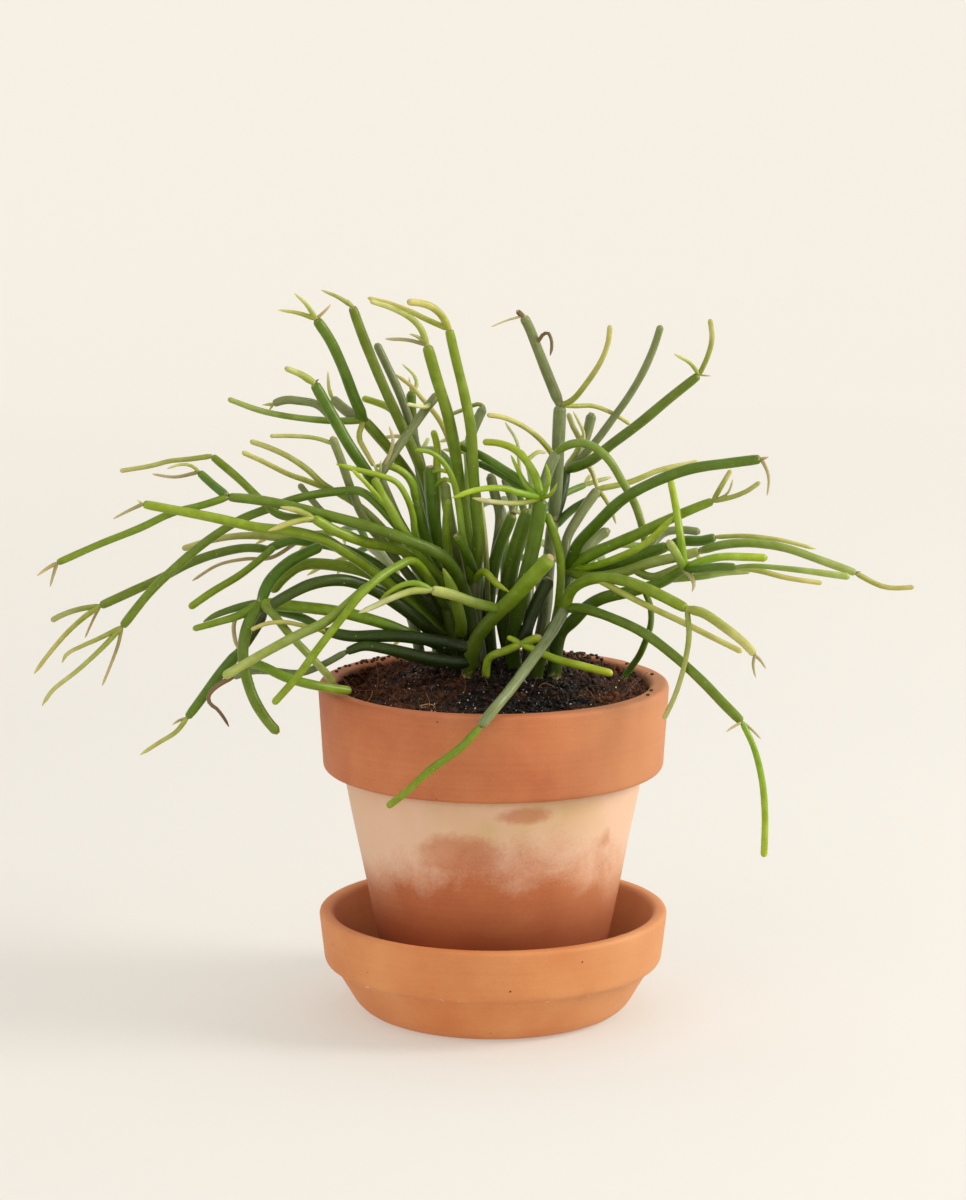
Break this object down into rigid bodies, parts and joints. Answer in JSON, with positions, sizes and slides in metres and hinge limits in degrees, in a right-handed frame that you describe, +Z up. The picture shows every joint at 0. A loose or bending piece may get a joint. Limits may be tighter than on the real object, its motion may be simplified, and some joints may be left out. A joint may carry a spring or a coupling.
{
  "type": "mistletoe cactus in a terracotta pot",
  "caption": "Potted mistletoe cactus: pencil-thin jointed green stems that arch out of peaty soil in a terracotta pot on a matching saucer; stands on a table or shelf.",
  "frame": {"origin": "middle of the saucer's flat underside, where the plant stands", "axes": "+Z up along the axis of pot and saucer, -Y towards the side that the stub and the stem over the rim lean to, +X to the right as seen from there"},
  "size_m": [0.3242, 0.2288, 0.2693],
  "materials": {
    "saucer_clay": "matt unglazed fired clay, pale orange, fine turning lines",
    "pot_clay": "matt unglazed fired clay with a cream lime bloom under the band",
    "soil": "damp dark peat with fibres and small crumbs",
    "stem_dark": "waxy semi-gloss skin, dark green",
    "stem_green": "waxy semi-gloss skin, mid green",
    "stem_grey": "waxy skin, greyish green with fine lengthwise lines",
    "stem_young": "waxy semi-gloss skin, yellow-green new growth"
  },
  "bodies": {
    "root": {"saucer": "saucer_clay", "pot": "pot_clay", "soil": "soil", "shoot_stub": "stem_green", "shoot_low_twig": "stem_young", "shoot_right_low": "stem_dark", "shoot_rim_inside": "stem_dark", "shoot_right_under": "stem_dark", "shoot_right_fan": "stem_dark", "shoot_tall_right": "stem_grey", "shoot_middle": "stem_green", "shoot_middle_second": "stem_dark", "shoot_middle_third": "stem_dark", "shoot_right_bow": "stem_young", "shoot_tall_left": "stem_grey", "shoot_inner_left": "stem_green", "shoot_inner_mid": "stem_green", "shoot_inner_dark": "stem_dark", "shoot_upper_tall": "stem_dark", "shoot_fork": "stem_dark", "shoot_upper_left": "stem_dark", "shoot_left_long": "stem_dark", "shoot_left_mid": "stem_green", "shoot_back_1": "stem_dark", "shoot_back_2": "stem_dark", "shoot_back_3": "stem_dark", "shoot_back_4": "stem_dark", "shoot_back_5": "stem_dark", "shoot_back_6": "stem_dark", "shoot_back_7": "stem_dark", "shoot_back_8": "stem_dark"}
  },
  "joints": []
}
